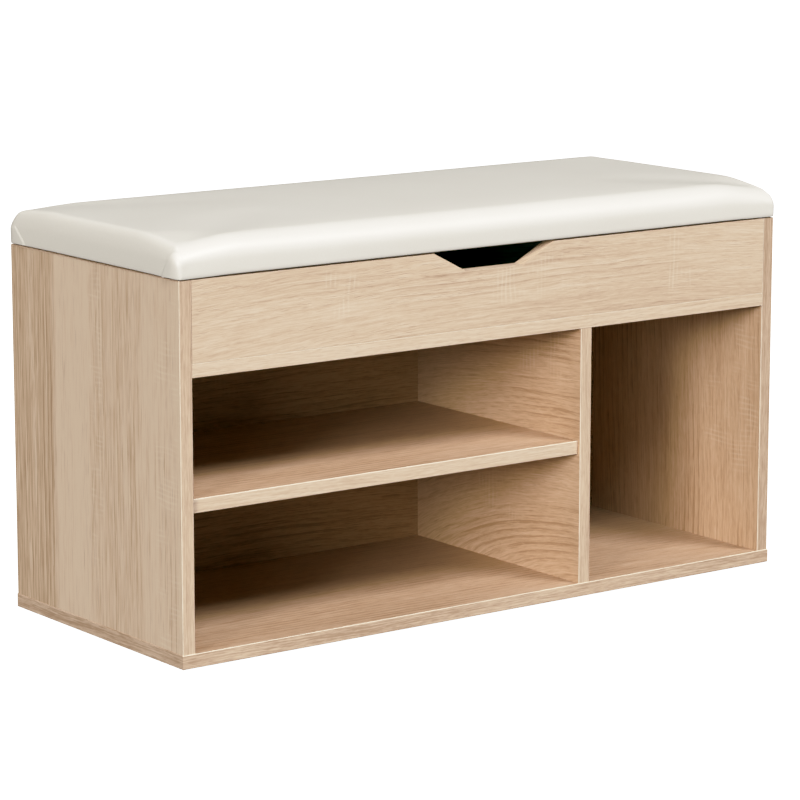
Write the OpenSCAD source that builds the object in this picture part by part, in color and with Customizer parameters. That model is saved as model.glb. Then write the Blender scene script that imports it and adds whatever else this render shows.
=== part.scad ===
// Entryway bench. A board case holds two shoe cubbies on the left, one tall cubby on
// the right and a shallow storage tray above them. A padded seat closes the tray: it
// flips up on two butt hinges and is guided by a riveted two-arm stay at each end.
// Millimetres, +Z up, width along X, front at -Y.
// Origin: on the floor, at the middle of the footprint.

/* [Case] */
// Width over the side panels
case_w = 800; // [760:10:900]
// Depth of the side panels
case_d = 330; // [320:5:380]
// Height of the case above its glides
case_h = 400; // [390:5:440]
// Thickness of every board in the case
board_t = 15; // [15:1:18]
// How far the bottom board stands proud of the side panels
bottom_proud = 0.7; // [0:0.1:2]
// Left face of the divider, measured from the middle of the case
divider_x = 120; // [60:5:150]
// Underside of the shelf, measured from the underside of the bottom board
shelf_height = 160; // [130:5:200]
// How far the shelf's front edge sits behind the case front
shelf_recess = 4; // [0:1:15]
// Gap left at each side and behind the loose shelf
shelf_gap = 0.5; // [0.3:0.1:1.5]
// How far the back panel's rear face sits in from the rear edges
back_inset = 18; // [15:1:40]

/* [Tray] */
// Depth of the storage tray above its floor
tray_h = 85; // [80:5:100]
// Width of the finger notch at the top edge
notch_top_w = 162; // [120:2:200]
// Width of the finger notch at its bottom
notch_bottom_w = 77; // [50:1:100]
// Depth of the finger notch
notch_depth = 22; // [15:1:30]

/* [Edge bands] */
// Thickness of the glued edge bands
band_t = 1; // [0.8:0.1:1.5]
// Chamfer along the outer corners of each band
band_chamfer = 0.6; // [0.2:0.1:0.6]

/* [Seat] */
// Gap between the case top and the underside of the seat
seat_gap = 2.2; // [2:0.1:3]
// How far the padded sides bulge past the case
seat_bulge = 2.5; // [0:0.5:4]
// Height of the seat from its underside to the rounded edge
seat_edge_h = 39.5; // [36:0.5:45]
// Further rise of the crowned middle
seat_crown = 4.5; // [0:0.5:8]
// Radius of the padded top edge
seat_top_r = 20; // [15:1:22]
// Radius of the upright corners, seen from above
seat_corner_r = 10; // [6:1:20]
// Thickness of the faux leather cover
cover_t = 1; // [1:0.1:1.5]
// Width of cover folded under the lid board
cover_fold = 28; // [25:1:40]
// Thickness of the lid board
lid_board_t = 12; // [12:1:15]
// Thickness of the lining under the lid
lining_t = 0.5; // [0.4:0.1:0.6]

/* [Hinges] */
// Distance of each hinge from the middle of the case
hinge_x = 270; // [200:10:320]
// Length of a hinge
hinge_l = 60; // [50:5:80]
// Width of a hinge leaf
leaf_w = 26; // [24:1:28]
// Thickness of a hinge leaf
leaf_t = 1.2; // [1:0.1:1.2]
// Radius of the rolled knuckles
knuckle_r = 2.5; // [2.3:0.1:2.5]
// Radius of the hinge pin
pin_r = 1.25; // [1:0.05:1.3]

/* [Stays] */
// Reach of the lower arm, which equals the seat pivot's distance in front of the hinge
stay_reach = 130; // [110:5:150]
// Drop of the seat pivot below the hinge line
stay_seat_drop = 14; // [13:0.5:16]
// Distance of the case pivot in front of the hinge line
stay_case_reach = 60; // [50:5:70]
// Drop of the case pivot below the hinge line
stay_case_drop = 50; // [44:1:52]
// Width of a stay arm
arm_w = 16; // [14:1:18]
// Thickness of a stay arm
arm_t = 2; // [1.5:0.1:2]

/* [Fittings] */
// Height of the floor glides
glide_h = 2; // [2:0.5:5]
// Radius of a floor glide
glide_r = 10; // [8:1:12]
// Diameter of the wooden dowels
dowel_d = 8; // [6:1:8]
// Diameter of the cam locks
cam_d = 15; // [12:1:15]
// Number of staples along each long side of the lining
staples_long = 14; // [8:1:20]
// Number of staples along each short side of the lining
staples_short = 5; // [3:1:8]

/* [Hidden] */

$fn = 48;
eps = 0.5;               // overlap that makes a cut run clean past a face
fit_gap = 0.05;          // radial clearance of pins, dowels and screws in their holes

// Case outline
half_w = case_w / 2;
front_y = -case_d / 2;
rear_y = case_d / 2;
base_z = glide_h;
side_z = base_z + board_t;
top_z = base_z + case_h;
inner_x = half_w - board_t;
tray_z = top_z - tray_h;
floor_z = tray_z - board_t;
shelf_z = base_z + shelf_height;
back_y = rear_y - back_inset - board_t;
shelf_l = divider_x + inner_x - 2 * shelf_gap;
shelf_front_y = front_y + shelf_recess;
shelf_d = back_y - shelf_gap - shelf_front_y;
bottom_w = case_w + 2 * bottom_proud;
bottom_d = case_d + 2 * bottom_proud;
half_t = board_t / 2;

// Middle planes of the upright boards
side_mid_x = half_w - half_t;
divider_mid_x = divider_x + half_t;
back_mid_y = back_y + half_t;
front_mid_y = front_y + half_t;
rail_mid_y = rear_y - half_t;
floor_mid_z = floor_z + half_t;
tray_mid_z = tray_z + tray_h / 2;

// Dowels: part of each sits in a board's face, the rest in the other board's edge
dowel_l = 30;
dowel_face_depth = 10;
dowel_shift = dowel_l / 2 - dowel_face_depth;
dowel_end_slack = 1;
dowel_y = 60;            // dowels beside the middle of the side panels
dowel_front_y = -120;    // foremost dowel of the divider
dowel_tray_x = 300;      // outer dowels under the tray's front panel and rail
dowel_tray_in_x = 110;   // inner dowels there
dowel_panel_z = 26;      // distance of the end dowels from the panel's middle height
dowel_back_x = 330;

foot_dowels = [for (s = [-1, 1], y = [-dowel_y, dowel_y]) [s * side_mid_x, y, side_z + dowel_shift]];
divider_foot_dowels = [[divider_mid_x, 0, side_z + dowel_shift]];
divider_head_dowels =
    [for (y = [dowel_front_y, 0, -dowel_front_y - 15]) [divider_mid_x, y, floor_z - dowel_shift]];
back_foot_dowels = [for (x = [-dowel_back_x, 0, dowel_back_x]) [x, back_mid_y, side_z + dowel_shift]];
back_head_dowels = [for (x = [-dowel_back_x, 0, dowel_back_x]) [x, back_mid_y, floor_z - dowel_shift]];
tray_x = [-dowel_tray_x, -dowel_tray_in_x, dowel_tray_in_x, dowel_tray_x];
front_foot_dowels = [for (x = tray_x) [x, front_mid_y, tray_z + dowel_shift]];
rail_foot_dowels = [for (x = tray_x) [x, rail_mid_y, tray_z + dowel_shift]];
end_x = inner_x - dowel_shift;
floor_end_dowels = [for (s = [-1, 1], y = [-dowel_y, dowel_y]) [s * end_x, y, floor_mid_z]];
front_end_dowels =
    [for (s = [-1, 1], z = [-dowel_panel_z, dowel_panel_z]) [s * end_x, front_mid_y, tray_mid_z + z]];
rail_end_dowels =
    [for (s = [-1, 1], z = [-dowel_panel_z, dowel_panel_z]) [s * end_x, rail_mid_y, tray_mid_z + z]];

// Cam fittings: [y, z, turn about X]; at turn 0 the lock opens downwards
cam_y = 110;
cam_low_z = 55;
floor_cams = [for (y = [-cam_y, cam_y]) [y, floor_mid_z, 0]];
front_cams = [[front_mid_y, tray_mid_z, 90]];
rail_cams = [[rail_mid_y, tray_mid_z, -90]];
back_cams = [for (z = [side_z + cam_low_z, floor_z - cam_low_z]) [back_mid_y, z, 90]];
cam_reach = 24;          // lock's centre, measured in from the board's end
cam_depth = 12.5;
bolt_r = 3;
bolt_hole_r = 4;
bolt_thread_r = 2.5;
bolt_thread_l = 11;
bolt_head_r = 3.4;
bolt_head_l = 2.5;

// Confirmat screws, driven up through the bottom board
confirmat_l = 50;
confirmat_head_r = 5;
confirmat_head_h = 4;
confirmat_neck_r = 3.5;
confirmat_thread_r = 2.5;
side_screws = [for (s = [-1, 1], y = [-120, 120]) [s * side_mid_x, y, base_z]];
divider_screws = [for (y = [-90, 90]) [divider_mid_x, y, base_z]];
back_screws = [for (x = [-200, 220]) [x, back_mid_y, base_z]];

// Glides, nailed under the bottom board
glide_nail_r = 1;
glide_nail_l = 12;
glides = [for (x = [-365, divider_mid_x, 365], y = [-135, 118]) [x, y, 0]];

// Shelf pins
pin_hole_depth = 8;
shelf_pin_r = 2.5;
shelf_pin_l = 16;
pin_y = [shelf_front_y + 40, back_y - 45];
pin_z = shelf_z - shelf_pin_r;

// Seat layers, from the underside up
seat_z = top_z + seat_gap;
lid_z = seat_z + cover_t;
foam_z = lid_z + lid_board_t;
lining_z = seat_z - lining_t;
seat_w = case_w + 2 * seat_bulge;
seat_d = case_d + 2 * seat_bulge;
seat_tuck = 2.5;         // the cover pulls in towards the lid's underside
tuck_h = 8;              // height over which it pulls in
slice_t = 0.01;          // thickness of the slices that shape the pad
lid_clear = 0.5;         // the lid board's edges, inside the cover
crown_keep = [0.62, 0.45]; // share of width and depth that the top of the crown takes
lining_margin = 14;      // lining's edge, in from the case outline

// Hinge line, behind the rear rail and just below the lid
hinge_y = rear_y + knuckle_r + 0.3;
hinge_z = lining_z - knuckle_r;
knuckle_count = 5;
knuckle_l = hinge_l / knuckle_count;
knuckle_gap = 0.2;       // end play between neighbouring knuckles
knuckle_clear = 0.3;     // leaf cut back round the other leaf's knuckles
leaf_low_z = lining_z - leaf_t;
leaf_screw_x = [-20, 0, 20];
leaf_screw_in = [17, 11, 17];
hinge_screw_r = 1.6;
hinge_screw_head_r = 3;
hinge_screw_head_h = 1.2;
case_screw_l = 13;
lid_screw_l = 9.5;

// Stay pivots. The two arms, the seat and the case form a parallelogram
seat_pivot = [hinge_y - stay_reach, hinge_z - stay_seat_drop];
case_pivot = [hinge_y - stay_case_reach, hinge_z - stay_case_drop];
elbow = seat_pivot + case_pivot - [hinge_y, hinge_z];
rivet_r = 2.5;
rivet_head_r = 4.5;
rivet_head_t = 1.2;
rivet_tail_t = 1;
plate_t = 2;
arm_gap = 0.2;           // side clearance between plates that turn past each other
case_plate_x = inner_x - plate_t;
lower_arm_x = case_plate_x - arm_gap - arm_t;
upper_arm_x = lower_arm_x - arm_gap - arm_t;
ear_x = upper_arm_x - arm_gap - plate_t;
ear_r = 9;
foot_l = 40;             // length of the seat bracket's foot, along Y
foot_w = 26;
foot_t = 1.5;
stay_screw_r = 1.8;
stay_screw_head_r = 3.4;
stay_screw_head_h = 1.5;
bracket_back = 24;       // case bracket's reach behind its pivot
bracket_front = 10;
bracket_down = 22;
bracket_up = 26;
bracket_screws = [[-3, -15], [17, -15]];
stop_along = 18;         // stop lug's distance from the pivot, along the raised arm
stop_size = 4;
stop_play = 0.15;

// Colours
oak = [0.86, 0.76, 0.63];
oak_edge = [0.89, 0.80, 0.67];
cream = [0.91, 0.89, 0.85];
zinc = [0.74, 0.75, 0.76];

// --- Helpers ---------------------------------------------------------------

// Box between two opposite corners
module block(low, high) {
    translate(low)
        cube(high - low);
}

// Straight edge band. Outer face at -Y, width along X, length up Z
module band_strip(length, width) {
    c = band_chamfer;
    linear_extrude(length)
        polygon([[c, 0], [width - c, 0], [width, c], [width, band_t], [0, band_t], [0, c]]);
}

// Band on a front face that runs along X. The point is its top left corner
module front_band(length) {
    rotate([0, 90, 0])
        band_strip(length, board_t);
}

// Band on an upward face that runs along Y. The point is its left front corner
module top_band_y(length) {
    rotate([-90, 0, 0])
        band_strip(length, board_t);
}

// Band on an upward face that runs along X. The point is its left rear corner
module top_band_x(length) {
    rotate([0, 0, -90])
        top_band_y(length);
}

// Upright cylinders centred on each point, for dowels and their holes
module pegs_z(points, r, l) {
    for (p = points)
        translate(p)
            cylinder(h = l, r = r, center = true);
}

// The same along X
module pegs_x(points, r, l) {
    for (p = points)
        translate(p)
            rotate([0, 90, 0])
                cylinder(h = l, r = r, center = true);
}

module dowel_holes_z(points) {
    pegs_z(points, dowel_d / 2 + fit_gap, dowel_l + dowel_end_slack);
}

module dowel_holes_x(points) {
    pegs_x(points, dowel_d / 2 + fit_gap, dowel_l + dowel_end_slack);
}

// Places a cam fitting at both ends of a board. Its origin is on the side panel's
// inner face, +X points into that panel and the lock opens towards -Z
module at_cams(cams) {
    for (end = [[0, 0, 0], [1, 0, 0]], c = cams)
        mirror(end)
            translate([inner_x, c[0], c[1]])
                rotate([c[2], 0, 0])
                    children();
}

// Recess for the lock and bore for the bolt, in the board that carries the lock
module cam_cavity() {
    translate([-cam_reach, 0, -half_t - eps])
        cylinder(h = cam_depth + fit_gap + eps, r = cam_d / 2 + fit_gap);
    translate([-cam_reach, 0, 0])
        rotate([0, 90, 0])
            cylinder(h = cam_reach + eps, r = bolt_hole_r);
}

// Threaded hole for the bolt, in the side panel
module cam_bolt_hole() {
    translate([-eps, 0, 0])
        rotate([0, 90, 0])
            cylinder(h = bolt_thread_l + eps + fit_gap, r = bolt_thread_r + fit_gap);
}

module cam_bolt() {
    rotate([0, 90, 0])
        cylinder(h = bolt_thread_l, r = bolt_thread_r);
    translate([-cam_reach, 0, 0])
        rotate([0, 90, 0])
            cylinder(h = cam_reach, r = bolt_r);
    translate([-cam_reach - bolt_head_l, 0, 0])
        rotate([0, 90, 0])
            cylinder(h = bolt_head_l, r = bolt_head_r);
}

// Zinc lock: a drum with a cross recess, cut out for the bolt and its head
module cam_lock() {
    slot_w = 1.6;
    slot_l = 9;
    slot_depth = 2.5;
    difference() {
        translate([-cam_reach, 0, -half_t])
            cylinder(h = cam_depth, r = cam_d / 2);
        translate([-cam_reach - bolt_head_l - 1, 0, 0])
            rotate([0, 90, 0])
                cylinder(h = cam_reach, r = bolt_head_r + fit_gap);
        for (turn = [0, 90])
            translate([-cam_reach, 0, -half_t])
                rotate([0, 0, turn + 45])
                    cube([slot_l, slot_w, 2 * slot_depth], center = true);
    }
}

module confirmat_holes(points, margin = fit_gap) {
    for (p = points)
        translate(p)
            confirmat(margin, eps);
}

// Confirmat screw, head down. The margin makes it a hole
module confirmat(margin = 0, reach = 0) {
    translate([0, 0, -reach])
        cylinder(h = reach + confirmat_head_h, r = confirmat_head_r + margin);
    cylinder(h = board_t + 1, r = confirmat_neck_r + margin);
    cylinder(h = confirmat_l + margin, r = confirmat_thread_r + margin);
}

// Countersunk wood screw that points along +Z, its flat head at the origin
module wood_screw(length, r, head_r, head_h, margin = 0) {
    translate([0, 0, -margin])
        cylinder(h = head_h + margin, r1 = head_r + margin, r2 = r + margin);
    cylinder(h = length + margin, r = r + margin);
}

// Cross recess of a screw head, cut from the head at the origin
module cross_recess(size) {
    for (turn = [0, 90])
        rotate([0, 0, turn])
            cube([size, size / 5, size / 3], center = true);
}

// Mirrors its children to the left end when side is -1
module at_side(side) {
    mirror([side < 0 ? 1 : 0, 0, 0])
        children();
}

// --- Case boards -----------------------------------------------------------

module bottom_board() {
    color(oak)
        difference() {
            block([-bottom_w / 2 + band_t, -bottom_d / 2 + band_t, base_z],
                  [bottom_w / 2 - band_t, bottom_d / 2, side_z]);
            dowel_holes_z(concat(foot_dowels, divider_foot_dowels, back_foot_dowels));
            confirmat_holes(concat(side_screws, divider_screws, back_screws));
            for (p = glides)
                translate(p)
                    cylinder(h = glide_h + glide_nail_l + fit_gap, r = glide_nail_r + fit_gap);
        }
}

// Side panel at the right end, as drilled
module side_board() {
    difference() {
        block([inner_x, front_y + band_t, side_z], [half_w, rear_y, top_z - band_t]);
        dowel_holes_z(foot_dowels);
        dowel_holes_x(concat(floor_end_dowels, front_end_dowels, rail_end_dowels));
        confirmat_holes(side_screws);
        at_cams(concat(floor_cams, front_cams, rail_cams, back_cams))
            cam_bolt_hole();
    }
}

module shelf_pin_holes(x) {
    for (y = pin_y)
        translate([x, y, pin_z])
            rotate([0, 90, 0])
                cylinder(h = 2 * (pin_hole_depth + fit_gap), r = shelf_pin_r + fit_gap, center = true);
}

module stay_case_screw_holes() {
    for (p = bracket_screws)
        translate([inner_x, case_pivot[0] + p[0], case_pivot[1] + p[1]])
            rotate([0, 90, 0])
                cylinder(h = stay_case_screw_l, r = stay_screw_r + fit_gap);
}

module side_panel_left() {
    color(oak)
        difference() {
            at_side(-1)
                side_board();
            shelf_pin_holes(-inner_x);
            at_side(-1)
                stay_case_screw_holes();
        }
}

module side_panel_right() {
    color(oak)
        difference() {
            side_board();
            stay_case_screw_holes();
        }
}

module divider() {
    color(oak)
        difference() {
            block([divider_x, front_y + band_t, side_z], [divider_x + board_t, back_y, floor_z]);
            dowel_holes_z(concat(divider_foot_dowels, divider_head_dowels));
            confirmat_holes(divider_screws);
            shelf_pin_holes(divider_x);
        }
}

module shelf() {
    x = -inner_x + shelf_gap;
    color(oak)
        block([x, shelf_front_y + band_t, shelf_z],
              [x + shelf_l, shelf_front_y + shelf_d, shelf_z + board_t]);
}

module storage_floor() {
    color(oak)
        difference() {
            block([-inner_x, front_y + band_t, floor_z], [inner_x, rear_y, tray_z]);
            dowel_holes_z(concat(divider_head_dowels, back_head_dowels));
            dowel_holes_z(concat(front_foot_dowels, rail_foot_dowels));
            dowel_holes_x(floor_end_dowels);
            at_cams(floor_cams)
                cam_cavity();
        }
}

// Front panel seen from the front, with its top outline lowered by one band or none
module front_outline(drop) {
    slope = atan2(notch_depth, (notch_top_w - notch_bottom_w) / 2);
    spread = drop * tan(slope / 2);
    top = top_z - drop;
    reach = notch_top_w / 2 + spread;
    low = notch_bottom_w / 2 + spread;
    polygon([
        [-inner_x, tray_z], [inner_x, tray_z], [inner_x, top], [reach, top],
        [low, top - notch_depth], [-low, top - notch_depth], [-reach, top], [-inner_x, top]
    ]);
}

module front_panel() {
    color(oak)
        difference() {
            translate([0, front_y + board_t, 0])
                rotate([90, 0, 0])
                    linear_extrude(board_t)
                        front_outline(band_t);
            dowel_holes_z(front_foot_dowels);
            dowel_holes_x(front_end_dowels);
            at_cams(front_cams)
                cam_cavity();
        }
}

module rear_rail() {
    color(oak)
        difference() {
            block([-inner_x, rear_y - board_t, tray_z], [inner_x, rear_y, top_z - band_t]);
            dowel_holes_z(rail_foot_dowels);
            dowel_holes_x(rail_end_dowels);
            at_cams(rail_cams)
                cam_cavity();
            at_hinges()
                case_leaf_screws(fit_gap);
        }
}

module back_panel() {
    color(oak)
        difference() {
            block([-inner_x, back_y, side_z], [inner_x, back_y + board_t, floor_z]);
            dowel_holes_z(concat(back_foot_dowels, back_head_dowels));
            confirmat_holes(back_screws);
            at_cams(back_cams)
                cam_cavity();
        }
}

// --- Edge bands ------------------------------------------------------------

module bottom_edge_bands() {
    side_l = bottom_d - band_t;
    color(oak_edge) {
        translate([-bottom_w / 2, -bottom_d / 2, side_z])
            front_band(bottom_w);
        translate([-bottom_w / 2, bottom_d / 2, side_z])
            rotate([0, 0, -90])
                front_band(side_l);
        translate([bottom_w / 2, -bottom_d / 2 + band_t, side_z])
            rotate([0, 0, 90])
                front_band(side_l);
    }
}

// Front and top bands of the side panel whose left face is at x
module side_bands(x) {
    color(oak_edge) {
        translate([x, front_y, side_z])
            band_strip(top_z - side_z, board_t);
        translate([x, front_y + band_t, top_z])
            top_band_y(case_d - band_t);
    }
}

module side_edge_bands_left() {
    side_bands(-half_w);
}

module side_edge_bands_right() {
    side_bands(inner_x);
}

module divider_edge_band() {
    color(oak_edge)
        translate([divider_x, front_y, side_z])
            band_strip(floor_z - side_z, board_t);
}

module shelf_edge_band() {
    color(oak_edge)
        translate([-inner_x + shelf_gap, shelf_front_y, shelf_z + board_t])
            front_band(shelf_l);
}

module storage_floor_edge_band() {
    color(oak_edge)
        translate([-inner_x, front_y, tray_z])
            front_band(2 * inner_x);
}

module front_panel_edge_bands() {
    color(oak_edge)
        translate([0, front_y + board_t, 0])
            rotate([90, 0, 0])
                linear_extrude(board_t)
                    difference() {
                        front_outline(0);
                        front_outline(band_t);
                    }
}

module rear_rail_edge_band() {
    color(oak_edge)
        translate([-inner_x, rear_y, top_z])
            top_band_x(2 * inner_x);
}

// --- Case fittings ---------------------------------------------------------

module floor_glides() {
    color("dimgray")
        for (p = glides)
            translate(p) {
                cylinder(h = glide_h, r = glide_r);
                cylinder(h = glide_h + glide_nail_l, r = glide_nail_r);
            }
}

module dowels() {
    color("burlywood") {
        pegs_z(concat(foot_dowels, divider_foot_dowels, divider_head_dowels), dowel_d / 2, dowel_l);
        pegs_z(concat(back_foot_dowels, back_head_dowels), dowel_d / 2, dowel_l);
        pegs_z(concat(front_foot_dowels, rail_foot_dowels), dowel_d / 2, dowel_l);
        pegs_x(concat(floor_end_dowels, front_end_dowels, rail_end_dowels), dowel_d / 2, dowel_l);
    }
}

module cam_locks() {
    color(zinc)
        at_cams(concat(floor_cams, front_cams, rail_cams, back_cams))
            cam_lock();
}

module cam_bolts() {
    color(zinc)
        at_cams(concat(floor_cams, front_cams, rail_cams, back_cams))
            cam_bolt();
}

module confirmat_screws() {
    hex_size = 4;
    color(zinc)
        for (p = concat(side_screws, divider_screws, back_screws))
            translate(p)
                difference() {
                    confirmat();
                    translate([0, 0, -eps])
                        cylinder(h = 2.5 + eps, r = hex_size / 2, $fn = 6);
                }
}

module shelf_pins() {
    color(zinc)
        for (x = [-inner_x, divider_x], y = pin_y)
            translate([x, y, pin_z])
                rotate([0, 90, 0])
                    cylinder(h = shelf_pin_l, r = shelf_pin_r, center = true);
}

// --- Hinges ----------------------------------------------------------------

// Puts its children at both hinges, at mid length on the hinge line
module at_hinges() {
    for (s = [-1, 1])
        translate([s * hinge_x, hinge_y, hinge_z])
            children();
}

// Tubes on the hinge line for every second knuckle, from the first given one
module knuckles(first) {
    for (i = [first : 2 : knuckle_count - 1])
        translate([-hinge_l / 2 + i * knuckle_l + knuckle_gap / 2, 0, 0])
            rotate([0, 90, 0])
                cylinder(h = knuckle_l - knuckle_gap, r = knuckle_r);
}

// Keeps only the stretches of a leaf's edge that roll into its own knuckles
module knuckle_tabs(first, low, high) {
    for (i = [first : 2 : knuckle_count - 1])
        block([-hinge_l / 2 + i * knuckle_l + knuckle_gap / 2, low[0], low[1]],
              [-hinge_l / 2 + (i + 1) * knuckle_l - knuckle_gap / 2, high[0], high[1]]);
}

module pin_bore() {
    rotate([0, 90, 0])
        cylinder(h = hinge_l + 2 * eps, r = pin_r + fit_gap, center = true);
}

// Screws of the case leaf, pointing forwards into the rear rail
module case_leaf_screws(margin = 0) {
    for (i = [0 : 2])
        translate([leaf_screw_x[i], rear_y + leaf_t - hinge_y, -knuckle_r - leaf_screw_in[i]])
            rotate([90, 0, 0])
                wood_screw(case_screw_l, hinge_screw_r, hinge_screw_head_r, hinge_screw_head_h, margin);
}

// Screws of the lid leaf, pointing up into the lid board
module lid_leaf_screws(margin = 0) {
    for (i = [0 : 2])
        translate([leaf_screw_x[i], -knuckle_r - leaf_screw_in[i], leaf_low_z - hinge_z])
            wood_screw(lid_screw_l, hinge_screw_r, hinge_screw_head_r, hinge_screw_head_h, margin);
}

// Case leaf round the hinge line's middle: it hangs down the rear rail
module case_leaf() {
    back = rear_y - hinge_y;
    cut = knuckle_r + knuckle_clear;
    color(zinc)
        difference() {
            union() {
                block([-hinge_l / 2, back, -knuckle_r - leaf_w], [hinge_l / 2, back + leaf_t, -cut]);
                knuckle_tabs(0, [back, -cut - eps], [back + leaf_t, 0]);
                knuckles(0);
            }
            pin_bore();
            case_leaf_screws(fit_gap);
        }
}

// Lid leaf round the hinge line's middle: it lies under the lid
module lid_leaf() {
    low = leaf_low_z - hinge_z;
    cut = knuckle_r + knuckle_clear;
    color(zinc)
        difference() {
            union() {
                block([-hinge_l / 2, -knuckle_r - leaf_w, low], [hinge_l / 2, -cut, low + leaf_t]);
                knuckle_tabs(1, [-cut - eps, low], [0, low + leaf_t]);
                knuckles(1);
            }
            pin_bore();
            lid_leaf_screws(fit_gap);
        }
}

module hinge_pin() {
    color(zinc)
        rotate([0, 90, 0])
            cylinder(h = hinge_l, r = pin_r, center = true);
}

module at_hinge(side) {
    translate([side * hinge_x, hinge_y, hinge_z])
        children();
}

module hinge_case_leaf_left() {
    at_hinge(-1)
        case_leaf();
}

module hinge_case_leaf_right() {
    at_hinge(1)
        case_leaf();
}

module hinge_lid_leaf_left() {
    at_hinge(-1)
        lid_leaf();
}

module hinge_lid_leaf_right() {
    at_hinge(1)
        lid_leaf();
}

module hinge_pin_left() {
    at_hinge(-1)
        hinge_pin();
}

module hinge_pin_right() {
    at_hinge(1)
        hinge_pin();
}

module hinge_case_screws() {
    color(zinc)
        difference() {
            at_hinges()
                case_leaf_screws();
            at_hinges()
                for (i = [0 : 2])
                    translate([leaf_screw_x[i], rear_y + leaf_t - hinge_y, -knuckle_r - leaf_screw_in[i]])
                        rotate([90, 0, 0])
                            cross_recess(hinge_screw_head_r);
        }
}

module hinge_lid_screws() {
    color(zinc)
        difference() {
            at_hinges()
                lid_leaf_screws();
            at_hinges()
                for (i = [0 : 2])
                    translate([leaf_screw_x[i], -knuckle_r - leaf_screw_in[i], leaf_low_z - hinge_z])
                        cross_recess(hinge_screw_head_r);
        }
}

// --- Stays, drawn at the right end -----------------------------------------

stay_case_screw_l = 12;
stay_lid_screw_l = 9.5;
foot_screw_y = [-13, 13];
foot_screw_x = ear_x + plate_t - foot_w / 2 - 3;

// Turns a shape drawn in Y and Z into a plate that starts at x
module yz_plate(x, thickness) {
    translate([x, 0, 0])
        rotate([90, 0, 90])
            linear_extrude(thickness)
                children();
}

// Flat bar with round ends between two pivots, drilled for its rivets
module stay_arm(x, from, to) {
    span = to - from;
    length = norm(span);
    translate([0, from[0], from[1]])
        rotate([atan2(span[1], span[0]), 0, 0])
            yz_plate(x, arm_t)
                difference() {
                    union() {
                        translate([0, -arm_w / 2])
                            square([length, arm_w]);
                        for (y = [0, length])
                            translate([y, 0])
                                circle(r = arm_w / 2);
                    }
                    for (y = [0, length])
                        translate([y, 0])
                            circle(r = rivet_r + fit_gap);
                }
}

module stay_lower_arm() {
    color(zinc)
        stay_arm(lower_arm_x, case_pivot, elbow);
}

module stay_upper_arm() {
    color(zinc)
        stay_arm(upper_arm_x, elbow, seat_pivot);
}

// Cylinder along X at a pivot, from one x to another
module stay_pin(pivot, r, x0, x1) {
    translate([x0, pivot[0], pivot[1]])
        rotate([0, 90, 0])
            cylinder(h = x1 - x0, r = r);
}

module stay_case_rivet() {
    stay_pin(case_pivot, rivet_r, lower_arm_x - arm_gap / 2, inner_x);
    stay_pin(case_pivot, rivet_head_r, lower_arm_x - arm_gap / 2 - rivet_head_t, lower_arm_x - arm_gap / 2);
}

module stay_elbow_rivet() {
    inner = upper_arm_x - arm_gap / 2;
    outer = lower_arm_x + arm_t;
    color(zinc) {
        stay_pin(elbow, rivet_r, inner, outer);
        stay_pin(elbow, rivet_head_r, inner - rivet_head_t, inner);
        stay_pin(elbow, rivet_head_r, outer, outer + rivet_tail_t);
    }
}

module stay_lid_rivet() {
    outer = upper_arm_x + arm_t + arm_gap / 2;
    stay_pin(seat_pivot, rivet_r, ear_x, outer);
    stay_pin(seat_pivot, rivet_head_r, outer, outer + rivet_tail_t);
    stay_pin(seat_pivot, rivet_head_r, ear_x - rivet_head_t, ear_x);
}

// Plate on the side panel. A lug stops the lower arm when the seat stands upright
module stay_case_bracket() {
    raised = atan2(stay_reach, -stay_seat_drop);
    lug_side = arm_w / 2 + stop_play;
    color(zinc)
        difference() {
            union() {
                yz_plate(case_plate_x, plate_t)
                    translate([case_pivot[0] - bracket_front, case_pivot[1] - bracket_down])
                        square([bracket_front + bracket_back, bracket_down + bracket_up]);
                yz_plate(lower_arm_x, case_plate_x - lower_arm_x + eps)
                    translate(case_pivot)
                        rotate(raised)
                            translate([stop_along, -lug_side - stop_size])
                                square(stop_size);
            }
            stay_pin(case_pivot, rivet_r + fit_gap, case_plate_x - eps, inner_x + eps);
            at_bracket_screws()
                stay_screw(stay_case_screw_l, fit_gap);
        }
}

module at_bracket_screws() {
    for (p = bracket_screws)
        translate([case_plate_x, case_pivot[0] + p[0], case_pivot[1] + p[1]])
            rotate([0, 90, 0])
                children();
}

module at_foot_screws() {
    for (y = foot_screw_y)
        translate([foot_screw_x, seat_pivot[0] + y, lining_z - foot_t])
            children();
}

module stay_screw(length, margin = 0) {
    wood_screw(length, stay_screw_r, stay_screw_head_r, stay_screw_head_h, margin);
}

// Angle bracket under the lid: a foot with two screws and an ear with the rivet
module stay_lid_bracket() {
    color(zinc)
        difference() {
            union() {
                block([ear_x + plate_t - foot_w, seat_pivot[0] - foot_l / 2, lining_z - foot_t],
                      [ear_x + plate_t, seat_pivot[0] + foot_l / 2, lining_z]);
                block([ear_x, seat_pivot[0] - ear_r, seat_pivot[1]],
                      [ear_x + plate_t, seat_pivot[0] + ear_r, lining_z]);
                stay_pin(seat_pivot, ear_r, ear_x, ear_x + plate_t);
            }
            stay_pin(seat_pivot, rivet_r + fit_gap, ear_x - eps, ear_x + plate_t + eps);
            at_foot_screws()
                stay_screw(stay_lid_screw_l, fit_gap);
        }
}

module stay_case_bracket_left() {
    at_side(-1)
        stay_case_bracket();
}

module stay_case_bracket_right() {
    stay_case_bracket();
}

module stay_case_rivets() {
    color(zinc)
        for (side = [-1, 1])
            at_side(side)
                stay_case_rivet();
}

module stay_case_screws() {
    color(zinc)
        for (side = [-1, 1])
            at_side(side)
                at_bracket_screws()
                    difference() {
                        stay_screw(stay_case_screw_l);
                        cross_recess(stay_screw_head_r);
                    }
}

module stay_lid_bracket_left() {
    at_side(-1)
        stay_lid_bracket();
}

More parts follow.
